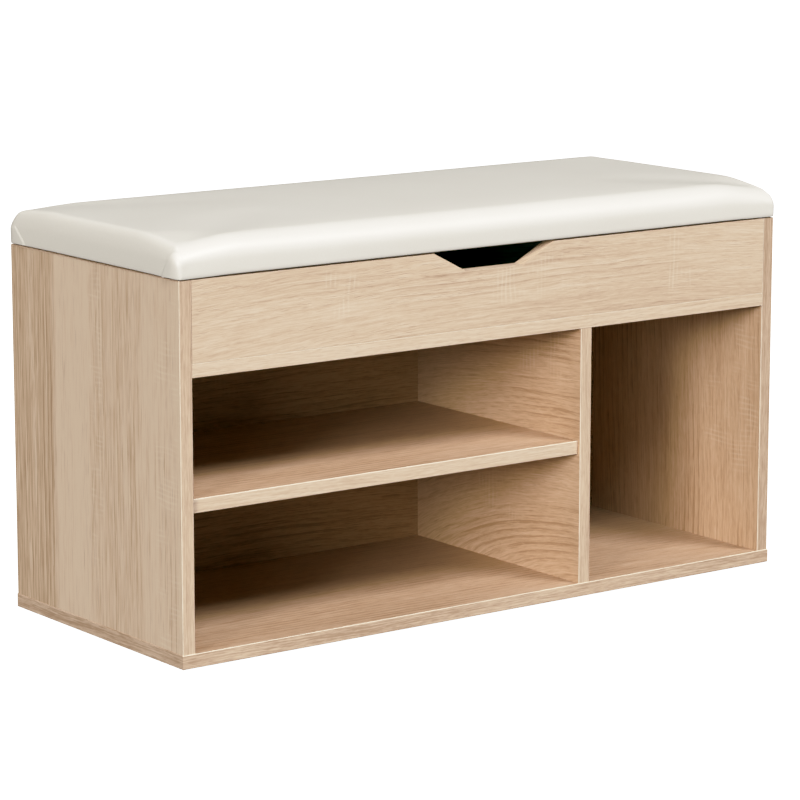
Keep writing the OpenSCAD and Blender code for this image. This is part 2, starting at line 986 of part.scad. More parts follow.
module stay_lid_bracket_right() {
    stay_lid_bracket();
}

module stay_lid_rivets() {
    color(zinc)
        for (side = [-1, 1])
            at_side(side)
                stay_lid_rivet();
}

module stay_lid_screws() {
    color(zinc)
        for (side = [-1, 1])
            at_side(side)
                at_foot_screws()
                    difference() {
                        stay_screw(stay_lid_screw_l);
                        cross_recess(stay_screw_head_r);
                    }
}

module stay_lower_arm_left() {
    at_side(-1)
        stay_lower_arm();
}

module stay_lower_arm_right() {
    stay_lower_arm();
}

module stay_elbow_rivet_left() {
    at_side(-1)
        stay_elbow_rivet();
}

module stay_elbow_rivet_right() {
    stay_elbow_rivet();
}

module stay_upper_arm_left() {
    at_side(-1)
        stay_upper_arm();
}

module stay_upper_arm_right() {
    stay_upper_arm();
}

// --- Seat ------------------------------------------------------------------

// Rectangle with round corners, centred on the origin
module round_rect(w, d, r) {
    square([w, d - 2 * r], center = true);
    square([w - 2 * r, d], center = true);
    for (sx = [-1, 1], sy = [-1, 1])
        translate([sx * (w / 2 - r), sy * (d / 2 - r)])
            circle(r = r);
}

// One thin level slice of the pad, drawn in from its widest outline. Its top is at z
module pad_slice(z, inset, shrink) {
    r = max(seat_corner_r - shrink + inset * 0.3, 2);
    translate([0, 0, z - slice_t])
        linear_extrude(slice_t)
            round_rect(seat_w - 2 * (shrink + inset), seat_d - 2 * (shrink + inset), r, $fn = 32);
}

// Crowned pad with rounded top edges. The shrink moves every face inwards
module pad(shrink) {
    edge_z = seat_z + seat_edge_h - seat_top_r;
    r = seat_top_r - shrink;
    slice_turn = 18;
    hull() {
        pad_slice(seat_z + shrink + slice_t, seat_tuck, shrink);
        pad_slice(seat_z + tuck_h, 0, shrink);
        for (a = [0 : slice_turn : 90])
            pad_slice(edge_z + r * sin(a), r * (1 - cos(a)), shrink);
        translate([0, 0, seat_z + seat_edge_h + seat_crown - shrink - slice_t])
            linear_extrude(slice_t)
                square([seat_w * crown_keep[0], seat_d * crown_keep[1]], center = true);
    }
}

// Holes for every screw that enters the lid from below
module lid_screw_holes() {
    at_hinges()
        lid_leaf_screws(fit_gap);
    for (side = [-1, 1])
        at_side(side)
            at_foot_screws()
                stay_screw(stay_lid_screw_l, fit_gap);
}

module lid_board() {
    inset = cover_t + lid_clear + seat_tuck;
    color("burlywood")
        difference() {
            translate([0, 0, lid_z])
                linear_extrude(lid_board_t)
                    round_rect(seat_w - 2 * inset, seat_d - 2 * inset, seat_corner_r - cover_t);
            lid_screw_holes();
        }
}

module seat_foam() {
    color("lightyellow")
        intersection() {
            pad(cover_t);
            block([-seat_w, -seat_d, foam_z], [seat_w, seat_d, foam_z + case_h]);
        }
}

module seat_cover() {
    color(cream)
        difference() {
            pad(0);
            pad(cover_t);
            translate([0, 0, seat_z - eps])
                linear_extrude(cover_t + 2 * eps)
                    square([case_w - 2 * cover_fold, case_d - 2 * cover_fold], center = true);
            lid_screw_holes();
        }
}

module lid_lining() {
    color([0.13, 0.13, 0.14])
        difference() {
            block([-half_w + lining_margin, front_y + lining_margin, lining_z],
                  [half_w - lining_margin, rear_y - lining_margin, seat_z]);
            lid_screw_holes();
        }
}

// Staple: a crown under the lining, its legs in the lid board
module staple() {
    crown_l = 10;
    wire = 0.8;
    leg = 6;
    translate([-crown_l / 2, -wire / 2, -wire])
        cube([crown_l, wire, wire]);
    for (s = [-1, 1])
        translate([s * (crown_l / 2 - wire / 2) - wire / 2, -wire / 2, -wire])
            cube([wire, wire, wire + leg]);
}

module lining_staples() {
    edge = lining_margin + 6;
    long_l = case_w - 2 * edge - 60;
    short_l = case_d - 2 * edge - 60;
    leaf_keep_out = hinge_l / 2 + 8;
    color(zinc) {
        for (s = [-1, 1], i = [0 : staples_long - 1]) {
            x = (i / (staples_long - 1) - 0.5) * long_l;
            if (s < 0 || abs(abs(x) - hinge_x) > leaf_keep_out)
                translate([x, s * (case_d / 2 - edge), lining_z])
                    staple();
        }
        for (s = [-1, 1], i = [0 : staples_short - 1])
            translate([s * (case_w / 2 - edge), (i / (staples_short - 1) - 0.5) * short_l, lining_z])
                rotate([0, 0, 90])
                    staple();
    }
}

// Pads that the seat rests on, over the side panels' top edges
module lid_bumpers() {
    bumper_r = 4.5;
    rest_gap = 0.05;
    color("whitesmoke")
        for (s = [-1, 1], y = [-140, 100])
            translate([s * side_mid_x, y, top_z + rest_gap])
                cylinder(h = seat_gap - rest_gap, r = bumper_r);
}

bottom_board();
side_panel_left();
side_panel_right();
divider();
shelf();
storage_floor();
front_panel();
rear_rail();
back_panel();
bottom_edge_bands();
side_edge_bands_left();
side_edge_bands_right();
divider_edge_band();
shelf_edge_band();
storage_floor_edge_band();
front_panel_edge_bands();
rear_rail_edge_band();
floor_glides();
dowels();
cam_locks();
cam_bolts();
confirmat_screws();
shelf_pins();
hinge_case_leaf_left();
hinge_case_leaf_right();
hinge_pin_left();
hinge_pin_right();
hinge_case_screws();
stay_case_bracket_left();
stay_case_bracket_right();
stay_case_rivets();
stay_case_screws();
lid_board();
seat_foam();
seat_cover();
lid_lining();
lining_staples();
lid_bumpers();
hinge_lid_leaf_left();
hinge_lid_leaf_right();
hinge_lid_screws();
stay_lid_bracket_left();
stay_lid_bracket_right();
stay_lid_rivets();
stay_lid_screws();
stay_lower_arm_left();
stay_elbow_rivet_left();
stay_upper_arm_left();
stay_lower_arm_right();
stay_elbow_rivet_right();
stay_upper_arm_right();
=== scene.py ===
"""Entryway bench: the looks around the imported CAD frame. Metres, +Z up, front at -Y."""

import math

import bpy
import numpy as np
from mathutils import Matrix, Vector
from mathutils.bvhtree import BVHTree


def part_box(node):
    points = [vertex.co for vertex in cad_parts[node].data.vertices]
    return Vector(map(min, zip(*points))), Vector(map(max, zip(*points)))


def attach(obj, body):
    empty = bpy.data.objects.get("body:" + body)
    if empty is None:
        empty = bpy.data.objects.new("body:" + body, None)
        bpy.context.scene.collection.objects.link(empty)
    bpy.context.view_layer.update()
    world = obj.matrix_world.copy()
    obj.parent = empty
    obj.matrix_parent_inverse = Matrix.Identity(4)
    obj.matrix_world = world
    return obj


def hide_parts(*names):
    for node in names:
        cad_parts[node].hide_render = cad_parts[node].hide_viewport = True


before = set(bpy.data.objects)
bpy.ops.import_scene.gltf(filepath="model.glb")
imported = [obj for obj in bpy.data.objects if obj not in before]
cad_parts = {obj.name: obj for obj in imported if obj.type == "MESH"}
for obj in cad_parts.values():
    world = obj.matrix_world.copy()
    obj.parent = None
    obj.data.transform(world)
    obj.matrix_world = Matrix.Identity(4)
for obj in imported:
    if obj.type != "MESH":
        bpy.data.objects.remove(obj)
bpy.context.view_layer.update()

MM = 0.001


# --- Node helpers -----------------------------------------------------------


class Shader:
    """Builds one material's nodes. Inputs are numbers, tuples or sockets."""

    def __init__(self, name):
        self.material = bpy.data.materials.new(name)
        self.material.use_nodes = True
        self.tree = self.material.node_tree
        self.tree.nodes.clear()

    def put(self, socket, value):
        if isinstance(value, bpy.types.NodeSocket):
            self.tree.links.new(value, socket)
        else:
            socket.default_value = value

    def add(self, kind, inputs=None, **settings):
        node = self.tree.nodes.new(kind)
        for key, value in settings.items():
            setattr(node, key, value)
        for key, value in (inputs or {}).items():
            self.put(node.inputs[key], value)
        return node

    def math(self, operation, a, b=0.0):
        return self.add("ShaderNodeMath", {0: a, 1: b}, operation=operation).outputs[0]

    def total(self, *terms):
        """Sum of value times weight, plus any plain number."""
        out = 0.0
        for term in terms:
            value = self.math("MULTIPLY", *term) if isinstance(term, tuple) else term
            out = self.math("ADD", out, value)
        return out

    def vector(self, x, y, z):
        return self.add("ShaderNodeCombineXYZ", {0: x, 1: y, 2: z}).outputs[0]

    def split(self, vector):
        return self.add("ShaderNodeSeparateXYZ", {0: vector}).outputs

    def noise(self, vector, scale=1.0, detail=2.0, roughness=0.5, distortion=0.0):
        inputs = {
            "Vector": vector,
            "Scale": scale,
            "Detail": detail,
            "Roughness": roughness,
            "Distortion": distortion,
        }
        return self.add("ShaderNodeTexNoise", inputs).outputs[0]

    def fit(self, value, low, high, to_low=0.0, to_high=1.0, smooth=True):
        """Maps low..high to to_low..to_high, clamped."""
        return self.add(
            "ShaderNodeMapRange",
            {0: value, 1: low, 2: high, 3: to_low, 4: to_high},
            interpolation_type="SMOOTHSTEP" if smooth else "LINEAR",
        ).outputs[0]

    def mix(self, factor, a, b, blend="MIX"):
        node = self.add("ShaderNodeMix", {0: factor, 6: a, 7: b}, data_type="RGBA", blend_type=blend)
        return node.outputs[2]

    def ramp(self, value, stops):
        node = self.add("ShaderNodeValToRGB", {0: value})
        elements = node.color_ramp.elements
        while len(elements) < len(stops):
            elements.new(0.5)
        for element, (place, colour) in zip(elements, stops):
            element.position = place
            element.color = colour
        return node.outputs[0]

    def bump(self, height, distance, strength):
        node = self.add("ShaderNodeBump", {"Height": height, "Distance": distance, "Strength": strength})
        return node.outputs[0]

    def object_coordinates(self):
        return self.add("ShaderNodeTexCoord").outputs["Object"]

    def finish(self, **inputs):
        """Ends in a Principled surface. Names use _ for spaces."""
        surface = self.add("ShaderNodeBsdfPrincipled", {k.replace("_", " "): v for k, v in inputs.items()})
        out = self.add("ShaderNodeOutputMaterial")
        self.tree.links.new(surface.outputs[0], out.inputs[0])
        return self.material


def rgb(red, green, blue):
    return (red, green, blue, 1.0)


# --- Oak print, edge bands and raw chipboard ---------------------------------

OAK_DARK = rgb(0.415, 0.288, 0.186)
OAK_LOW = rgb(0.538, 0.395, 0.272)
OAK_MID = rgb(0.620, 0.468, 0.332)
OAK_HIGH = rgb(0.692, 0.555, 0.420)
PORE = rgb(0.400, 0.270, 0.180)
SAW_MARK = rgb(0.800, 0.710, 0.585)
# Pale colour of the bands' chamfers: partly the trimmed edge, partly a painted highlight.
BAND_EDGE_TRIM_AND_HIGHLIGHT = rgb(0.800, 0.720, 0.595)
CHIP_LIGHT = rgb(0.600, 0.450, 0.285)
CHIP_DARK = rgb(0.270, 0.175, 0.100)
AXES = {"x": 0, "y": 1, "z": 2}
RINGS_PER_METRE = 120.0
SAW_MARKS_PER_METRE = 165.0


def board_axes(s, grain, face):
    """Distance along the grain, across it and through the board, in metres."""
    xyz = s.split(s.object_coordinates())
    across = 3 - AXES[grain] - AXES[face]
    return xyz[AXES[grain]], xyz[across], xyz[AXES[face]]


def growth(s, along, across, seed, heart, bend, slope):
    """Distance from the tree's heart, wobbled. Its level lines are the figure of the board."""
    rise = s.total((along, slope), bend)
    off = s.total(across, -heart)
    squares = s.math("ADD", s.math("MULTIPLY", rise, rise), s.math("MULTIPLY", off, off))
    distance = s.math("SQRT", squares)
    slow = s.noise(s.vector(s.total((along, 2.4), seed), s.total((across, 11.0)), seed), detail=2.0)
    quick = s.noise(s.vector(s.total((along, 14.0), seed), s.total((across, 60.0)), seed), detail=2.0)
    return s.total(distance, (slow, 0.020), (quick, 0.0032))


def saw_marks(s, along, across, layer, patches):
    """Pale short lines across the grain, only in some patches (middle and half size, both ways)."""
    wobble = s.noise(s.vector(s.total((along, 26.0)), s.total((across, 16.0)), layer), detail=1.0)
    place = s.math("FRACT", s.total((along, SAW_MARKS_PER_METRE), (wobble, 2.2)))
    line = s.fit(s.math("ABSOLUTE", s.total(place, -0.5)), 0.03, 0.32, 1.0, 0.0)
    kept = s.fit(s.noise(s.vector(s.total((along, 42.0)), s.total((across, 26.0)), layer)), 0.44, 0.66)
    area = 0.0
    for along_mid, along_half, across_mid, across_half in patches:
        off_along = s.math("ABSOLUTE", s.total(along, -along_mid))
        off_across = s.math("ABSOLUTE", s.total(across, -across_mid))
        inside = s.math(
            "MULTIPLY",
            s.fit(off_along, along_half * 0.6, along_half, 1.0, 0.0),
            s.fit(off_across, across_half * 0.5, across_half, 1.0, 0.0),
        )
        area = s.math("MAXIMUM", area, inside)
    return s.math("MULTIPLY", s.math("MULTIPLY", line, kept), area)


def oak_colour(
    s, along, across, through, seed, figure, tone=0.0, contrast=1.0, drawn=1.0, planks=(), patches=()
):
    """Colour and height of the printed oak: plank tones, rings, streaks, pores and saw marks.

    A board that is more drawn has a longer, straighter grain.
    """
    layer = s.total((through, 3.0), seed)
    cut = saw_marks(s, along, across, layer, patches)
    along = s.total((along, 1 / drawn))
    q = growth(s, along, across, seed, *figure)
    broad = s.noise(s.vector(s.total((along, 1.5), seed), s.total((across, 10.0)), layer), detail=1.0)
    streak = s.noise(s.vector(s.total((along, 4.5)), s.total((q, 240.0)), layer), detail=3.0, roughness=0.65)
    fine = s.noise(s.vector(s.total((along, 19.0)), s.total((q, 800.0)), layer), detail=2.0, roughness=0.6)
    place = s.vector(s.total((along, 66.0)), s.total((q, 640.0)), layer)
    short = s.noise(place, detail=2.0, roughness=0.6, distortion=0.6)
    ring = s.math("POWER", s.math("FRACT", s.total((q, RINGS_PER_METRE), (streak, 0.9))), 3.0)
    ring_share = s.fit(s.noise(s.vector(s.total((along, 3.0)), s.total((q, 18.0)), layer)), 0.45, 0.65)
    steps = 0.0
    for edge, width, step in planks:
        steps = s.total(steps, (s.fit(across, edge - width, edge + width), step))
    tone = s.total(
        0.58 + tone,
        steps,
        (s.total(broad, -0.5), 0.45),
        (s.total(streak, -0.5), 1.0 * contrast),
        (s.total(fine, -0.5), 1.6 * contrast),
        (s.total(short, -0.5), 1.4 * contrast),
        (s.math("MULTIPLY", ring, ring_share), -0.7 * contrast),
    )
    colour = s.ramp(tone, [(0.0, OAK_DARK), (0.30, OAK_LOW), (0.58, OAK_MID), (0.95, OAK_HIGH)])
    pore = s.noise(s.vector(s.total((along, 75.0)), s.total((q, 900.0)), layer), detail=1.0)
    pore_share = s.fit(s.noise(s.vector(s.total((along, 8.0)), s.total((q, 60.0)), layer)), 0.35, 0.65)
    pore = s.math("MULTIPLY", s.fit(pore, 0.57, 0.70), pore_share)
    colour = s.mix(s.math("MULTIPLY", pore, 0.42 * contrast), colour, PORE)
    colour = s.mix(s.math("MULTIPLY", cut, 0.24), colour, SAW_MARK)
    height = s.total((streak, 0.35), (fine, 0.5), (short, 0.4), (pore, -0.9), (cut, 0.25))
    return colour, height


def chipboard(s):
    """Colour of raw particle board: packed flakes with dark ones among them."""
    place = s.object_coordinates()
    flakes = s.add("ShaderNodeTexVoronoi", {"Vector": place, "Scale": 620.0})
    flake = s.split(flakes.outputs["Color"])[0]
    dust = s.noise(place, scale=1500.0, detail=3.0)
    tone = s.total((flake, 0.55), (dust, 0.75), -0.12)
    return s.mix(tone, CHIP_DARK, CHIP_LIGHT)


def true_normal(s):
    return s.add("ShaderNodeNewGeometry").outputs["True Normal"]


def normal_parts(s):
    """Size of each part of the surface normal, in the frame."""
    return [s.math("ABSOLUTE", part) for part in s.split(true_normal(s))]


def oak_board(name, grain, face, seed, figure, shade_tints, **looks):
    """A board with oak print on its two faces and raw chipboard on its cut edges and in its holes.

    The face that looks along the axis (1) and the one that looks back (-1) can each be tinted: darker on
    faces inside the case, which is painted shade.
    """
    s = Shader(name)
    colour, height = oak_colour(s, *board_axes(s, grain, face), seed, figure, **looks)
    facing = s.split(true_normal(s))[AXES[face]]
    laminate = s.math("GREATER_THAN", s.math("ABSOLUTE", facing), 0.5)
    # Painted shade: faces that look into the case are multiplied by a darker tint.
    for side, tint in shade_tints.items():
        this_face = s.math("GREATER_THAN", s.math("MULTIPLY", facing, side), 0.5)
        colour = s.mix(this_face, colour, rgb(*tint), blend="MULTIPLY")
    colour = s.mix(laminate, chipboard(s), colour)
    rough = s.total((height, 0.10), 0.45)
    return s.finish(
        Base_Color=colour,
        Roughness=s.fit(laminate, 0.0, 1.0, 0.85, rough, smooth=False),
        Specular_IOR_Level=0.38,
        Normal=s.bump(height, 0.25 * MM, 0.5),
    )


def oak_band(name, grain, seed, tone=0.0, contrast=0.7, turns=False):
    """A glued edge band: straight-grained print, and pale chamfered edges that face front or back: partly
    the trimmed band's paler colour, partly a painted highlight.

    One that turns is glued to the ends too, and its grain runs on round the corner.
    """
    s = Shader(name)
    straight = (0.9, 0.0, 0.0)
    along, across, through = board_axes(s, grain, "y")
    if turns:
        along = s.total(along, through)
    else:
        across = s.total(across, through)
    looks = dict(tone=tone, contrast=contrast)
    colour, height = oak_colour(s, along, across, through, seed, straight, **looks)
    parts = normal_parts(s)
    flat = s.math("MAXIMUM", s.math("MAXIMUM", parts[0], parts[1]), parts[2])
    # Pale chamfers that face front or back: partly the trimmed band's paler colour, partly a painted
    # highlight.
    edge_trim_and_highlight = s.math("MULTIPLY", s.math("LESS_THAN", flat, 0.96), s.math("GREATER_THAN", parts[1], 0.1))
    colour = s.mix(s.math("MULTIPLY", edge_trim_and_highlight, 0.6), colour, BAND_EDGE_TRIM_AND_HIGHLIGHT)
    return s.finish(
        Base_Color=colour,
        Roughness=s.total((height, 0.10), 0.42),
        Specular_IOR_Level=0.4,
        Normal=s.bump(height, 0.18 * MM, 0.4),
    )


# --- Other materials ----------------------------------------------------------


def faux_leather():
    """Off-white coated fabric: fine pebble grain, faint mottling, satin coat."""
    s = Shader("faux_leather")
    place = s.object_coordinates()
    pebble = s.add("ShaderNodeTexVoronoi", {"Vector": place, "Scale": 850.0}, feature="SMOOTH_F1")
    pebble = pebble.outputs["Distance"]
    fold = s.noise(place, scale=260.0, detail=4.0, roughness=0.6)
    cloud = s.noise(place, scale=7.0, detail=2.0)
    tone = s.total((cloud, 0.6), (fold, 0.25), (pebble, 0.3))
    colour = s.ramp(tone, [(0.15, rgb(0.688, 0.653, 0.582)), (0.85, rgb(0.745, 0.713, 0.646))])
    height = s.total((pebble, 0.8), (fold, 0.6))
    return s.finish(
        Base_Color=colour,
        Roughness=s.total((fold, 0.14), 0.36),
        Specular_IOR_Level=0.45,
        Coat_Weight=0.08,
        Coat_Roughness=0.3,
        Normal=s.bump(height, 0.12 * MM, 0.35),
    )


def lining_cloth():
    """Black spunbond cloth: tangled fibres and a grid of pressed dots."""
    s = Shader("lining_cloth")
    place = s.object_coordinates()
    fibres = s.noise(place, scale=900.0, detail=5.0, roughness=0.7, distortion=3.0)
    x, y, _ = s.split(place)
    dot_pitch = 2.2 * MM
    waves = [s.math("SINE", s.math("MULTIPLY", part, 2 * math.pi / dot_pitch)) for part in (x, y)]
    dots = s.fit(s.math("MULTIPLY", *waves), 0.3, 0.8)
    stops = [(0.2, rgb(0.010, 0.010, 0.011)), (0.85, rgb(0.062, 0.062, 0.066))]
    colour = s.ramp(s.total(fibres, (dots, -0.2)), stops)
    return s.finish(
        Base_Color=colour,
        Roughness=0.9,
        Specular_IOR_Level=0.25,
        Sheen_Weight=0.15,
        Normal=s.bump(s.total(fibres, (dots, -0.8)), 0.25 * MM, 0.8),
    )


def zinc_plate(name, tint=(0.70, 0.71, 0.72)):
    """Zinc-plated steel: cloudy plating and faint draw lines."""
    s = Shader(name)
    place = s.object_coordinates()
    x, y, z = s.split(place)
    cloud = s.noise(place, scale=120.0, detail=3.0)
    drawn = s.noise(s.vector(s.total((x, 300.0)), s.total((y, 300.0)), s.total((z, 4000.0))), detail=2.0)
    dark = rgb(*(0.72 * part for part in tint))
    colour = s.mix(s.fit(cloud, 0.3, 0.7), dark, rgb(*tint))
    return s.finish(
        Base_Color=colour,
        Metallic=1.0,
        Roughness=s.total((cloud, 0.22), (drawn, 0.10), 0.20),
        Normal=s.bump(drawn, 0.04 * MM, 0.5),
    )


def beech():
    """Turned beech: pink-tan with short dark flecks along the dowel."""
    s = Shader("beech")
    place = s.object_coordinates()
    fleck = s.noise(place, scale=900.0, detail=3.0, roughness=0.6)
    band = s.noise(place, scale=160.0, detail=2.0)
    stops = [(0.3, rgb(0.42, 0.27, 0.15)), (0.65, rgb(0.68, 0.50, 0.33))]
    colour = s.ramp(s.total((fleck, 0.6), (band, 0.5), -0.05), stops)
    return s.finish(Base_Color=colour, Roughness=0.62, Normal=s.bump(fleck, 0.15 * MM, 0.5))


def moulded_plastic(name, colour, roughness):
    """Moulded plastic: faint flow marks and a fine spark-eroded texture."""
    s = Shader(name)
    place = s.object_coordinates()
    flow = s.noise(place, scale=90.0, detail=2.0)
    spark = s.noise(place, scale=2600.0, detail=2.0)
    shade = rgb(*(0.86 * part for part in colour))
    return s.finish(
        Base_Color=s.mix(s.fit(flow, 0.3, 0.7), shade, rgb(*colour)),
        Roughness=s.total((spark, 0.18), roughness - 0.09),
        Normal=s.bump(spark, 0.05 * MM, 0.6),
    )


def clear_rubber():
    """Soft clear bumper pads, tinted smoky grey in clouds: painted shade, so that they look dark in the
    shaded gap under the seat.
    """
    s = Shader("clear_rubber")
    cloud = s.noise(s.object_coordinates(), scale=700.0, detail=2.0)
    # Painted shade: a dark grey base, so the pads look as dark as the shaded gap they sit in.
    colour = s.mix(cloud, rgb(0.30, 0.31, 0.31), rgb(0.40, 0.41, 0.41))
    return s.finish(
        Base_Color=colour,
        Roughness=s.total((cloud, 0.2), 0.25),
        Transmission_Weight=0.55,
        IOR=1.46,
        Normal=s.bump(cloud, 0.05 * MM, 0.5),
    )


# --- The looks of the CAD nodes ------------------------------------------------


def paint(names, material):
    for name in names:
        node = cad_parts[name]
        node.data.materials.clear()
        node.data.materials.append(material)


def round_edges(names, width):
    """Small bevels on hard edges, so that they catch the light."""
    for name in names:
        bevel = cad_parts[name].modifiers.new("edge", "BEVEL")
        bevel.width = width
        bevel.segments = 2
        bevel.limit_method = "ANGLE"
        bevel.angle_limit = math.radians(50)
        bevel.use_clamp_overlap = True


def both_faces(tint):
    return {1: tint, -1: tint}


# How each board's print is drawn. figure: where the tree's heart is across the board, the rise of
# its rings and their slope along it. planks: where the tone steps across the board, over what half
# width and by how much. patches: where saw marks show, as the middle and half size along the grain
# and across it.
# The tints multiply the faces that look along the board's face axis (1) or back (-1); on faces inside the
# case they are painted shade.
OAK_BOARDS = {
    "side_panel_left": dict(
        grain="z", face="x", seed=4.3, figure=(-0.62, 0.02, 0.10),
        # Inner face (1) darker as painted shade; outer face (-1) only a slight tone.
        shade_tints={1: (0.85, 0.72, 0.64), -1: (0.985, 0.975, 0.930)},
        tone=0.44, contrast=1.25, drawn=2.5,
        planks=((-0.088, 0.022, -0.26), (0.010, 0.0008, 0.32), (0.082, 0.010, -0.60)),
        patches=((0.20, 0.26, -0.140, 0.028), (0.24, 0.20, -0.004, 0.015)),
    ),
    "side_panel_right": dict(
        grain="z", face="x", seed=9.1, figure=(0.46, 0.03, 0.22),
        shade_tints={-1: (0.89, 0.80, 0.70)}, tone=-0.08, contrast=0.8,
        patches=((0.22, 0.15, -0.140, 0.030), (0.17, 0.05, -0.110, 0.055)),
    ),
    "divider": dict(
        grain="y", face="x", seed=15.7, figure=(-0.06, 0.09, 0.42),
        shade_tints=both_faces((0.94, 0.85, 0.75)), tone=-0.05, contrast=0.75,
        patches=((-0.10, 0.05, 0.270, 0.040), (-0.02, 0.05, 0.10, 0.04)),
    ),
    "front_panel": dict(
        grain="x", face="y", seed=2.2, figure=(0.255, -0.012, 0.12),
        shade_tints={1: (0.85, 0.75, 0.66)}, contrast=0.6,
        planks=((0.345, 0.020, 0.10),),
        patches=((0.05, 0.06, 0.365, 0.03), (0.26, 0.02, 0.36, 0.05), (-0.20, 0.03, 0.37, 0.03)),
    ),
    "rear_rail": dict(
        grain="x", face="y", seed=21.4, figure=(0.21, 0.05, 0.12),
        shade_tints={-1: (0.85, 0.75, 0.66)},
    ),
    "back_panel": dict(
        grain="x", face="y", seed=33.9, figure=(-0.10, 0.02, 0.16),
        shade_tints={-1: (0.64, 0.51, 0.36)}, contrast=1.3,
        patches=((-0.15, 0.03, 0.25, 0.05), (0.0, 0.05, 0.10, 0.05)),
    ),
    "shelf": dict(
        grain="x", face="z", seed=41.2, figure=(-0.35, 0.03, 0.08),
        shade_tints=both_faces((0.87, 0.77, 0.68)),
    ),
    "storage_floor": dict(
        grain="x", face="z", seed=52.6, figure=(0.30, 0.03, 0.10),
        shade_tints=both_faces((0.80, 0.70, 0.60)),
    ),
    "bottom_board": dict(
        grain="x", face="z", seed=63.8, figure=(-0.42, 0.04, 0.12),
        shade_tints={1: (0.80, 0.71, 0.63)},
    ),
}


def paint_boards():
    for name, looks in OAK_BOARDS.items():
        paint([name], oak_board("oak_" + name, **looks))


def paint_bands():
    bands = [
        ("bottom_edge_bands", "x", 5.5, dict(tone=-0.28, contrast=1.0, turns=True)),
        ("side_edge_bands_left", "z", 12.5, dict(tone=-0.10)),
        ("side_edge_bands_right", "z", 18.5, dict(tone=-0.42)),
        ("divider_edge_band", "z", 24.5, dict(tone=-0.05)),
        ("shelf_edge_band", "x", 31.5, dict(tone=0.14)),
        ("storage_floor_edge_band", "x", 37.5, dict(tone=0.20)),
        ("front_panel_edge_bands", "x", 43.5, dict(tone=0.06)),
        ("rear_rail_edge_band", "x", 49.5, {}),
    ]
    for name, grain, seed, looks in bands:
        paint([name], oak_band("oak_" + name, grain, seed, **looks))
    round_edges(["front_panel_edge_bands"], 0.35 * MM)


def sided(*stems):
    return [f"{stem}_{side}" for stem in stems for side in ("left", "right")]


def paint_fittings():
    plate = sided("hinge_case_leaf", "hinge_lid_leaf", "stay_case_bracket", "stay_lid_bracket")
    arms = sided("stay_lower_arm", "stay_upper_arm")
    turned = sided("hinge_pin", "stay_elbow_rivet") + ["stay_case_rivets", "stay_lid_rivets"]
    screws = ["hinge_case_screws", "hinge_lid_screws", "stay_case_screws", "stay_lid_screws"]
    knock_down = ["cam_bolts", "confirmat_screws", "shelf_pins"]
    paint(plate + arms, zinc_plate("zinc_plate"))
    paint(turned, zinc_plate("zinc_pin", (0.62, 0.63, 0.64)))
    paint(screws + knock_down, zinc_plate("zinc_screw", (0.66, 0.66, 0.65)))
    paint(["cam_locks"], zinc_plate("zinc_cam", (0.52, 0.53, 0.54)))
    paint(["lining_staples"], zinc_plate("staple_wire", (0.75, 0.75, 0.74)))
    round_edges(plate + arms, 0.25 * MM)
    paint(["dowels"], beech())
    paint(["floor_glides"], moulded_plastic("glide_plastic", (0.16, 0.155, 0.15), 0.5))
    paint(["lid_bumpers"], clear_rubber())
    paint(["lid_board"], raw_board())


def raw_board():
    s = Shader("chipboard")
    dust = s.noise(s.object_coordinates(), scale=900.0, detail=3.0)
    return s.finish(Base_Color=chipboard(s), Roughness=0.85, Normal=s.bump(dust, 0.3 * MM, 0.6))


# --- Seat ------------------------------------------------------------------------

SEAT_LOW, SEAT_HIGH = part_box("seat_cover")
LID_LOW, LID_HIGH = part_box("lid_board")
LINING_LOW, LINING_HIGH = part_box("lid_lining")


def smooth(x):
    x = np.clip(x, 0.0, 1.0)
    return x * x * (3 - 2 * x)


def graded(half, fine, span, coarse):
    """Grid lines from -half to half, close together near both ends."""
    edge = np.arange(0.0, span, fine)
    middle = np.linspace(-half + span, half - span, round(2 * (half - span) / coarse) + 1)
    return np.concatenate([-half + edge, middle, (half - edge)[::-1]])


class PadGrid:
    """Topology of the seat pad: a top grid, side rows below its rim, and loops under it."""

    def __init__(self, xs, ys, rows):
        self.xs, self.ys, self.rows = xs, ys, rows
        nx, ny = len(xs), len(ys)
        self.rim = (
            [(i, 0) for i in range(nx - 1)]
            + [(nx - 1, j) for j in range(ny - 1)]
            + [(i, ny - 1) for i in range(nx - 1, 0, -1)]
            + [(0, j) for j in range(ny - 1, 0, -1)]
        )
        self.top_count = nx * ny
        self.points = [(x, y, rows[-1]) for x in xs for y in ys]
        for z in rows[:-1]:
            self.points += [(xs[i], ys[j], z) for i, j in self.rim]
        self.points = np.array(self.points)
        self.faces = [
            (i * ny + j, (i + 1) * ny + j, (i + 1) * ny + j + 1, i * ny + j + 1)
            for i in range(nx - 1)
            for j in range(ny - 1)
        ]
        levels = [self.row(k) for k in range(len(rows))]
        for low, high in zip(levels, levels[1:]):
            self.faces += loop_faces(low, high)

    def row(self, k):
        """Vertex numbers round the rim at one side row, the last row being the top's rim."""
        if k == len(self.rows) - 1:
            return [i * len(self.ys) + j for i, j in self.rim]
        start = self.top_count + k * len(self.rim)
        return list(range(start, start + len(self.rim)))


def loop_faces(low, high):
    n = len(low)
    return [(low[p], low[(p + 1) % n], high[(p + 1) % n], high[p]) for p in range(n)]


def shell_faces(rows, columns):
    """Faces of a closed thin shell: a grid of points, then its copy behind it, and the rim between."""
    wide, count = columns + 1, (rows + 1) * (columns + 1)
    faces = []
    for r in range(rows):
        for c in range(columns):
            a = r * wide + c
            quad = (a, a + 1, a + 1 + wide, a + wide)
            faces.append(quad)
            faces.append(tuple(count + v for v in reversed(quad)))
    border = (
        list(range(columns))
        + [r * wide + columns for r in range(rows)]
        + [rows * wide + c for c in range(columns, 0, -1)]
        + [r * wide for r in range(rows, 0, -1)]
    )
    for a, b in zip(border, border[1:] + border[:1]):
        faces.append((b, a, count + a, count + b))
    return faces


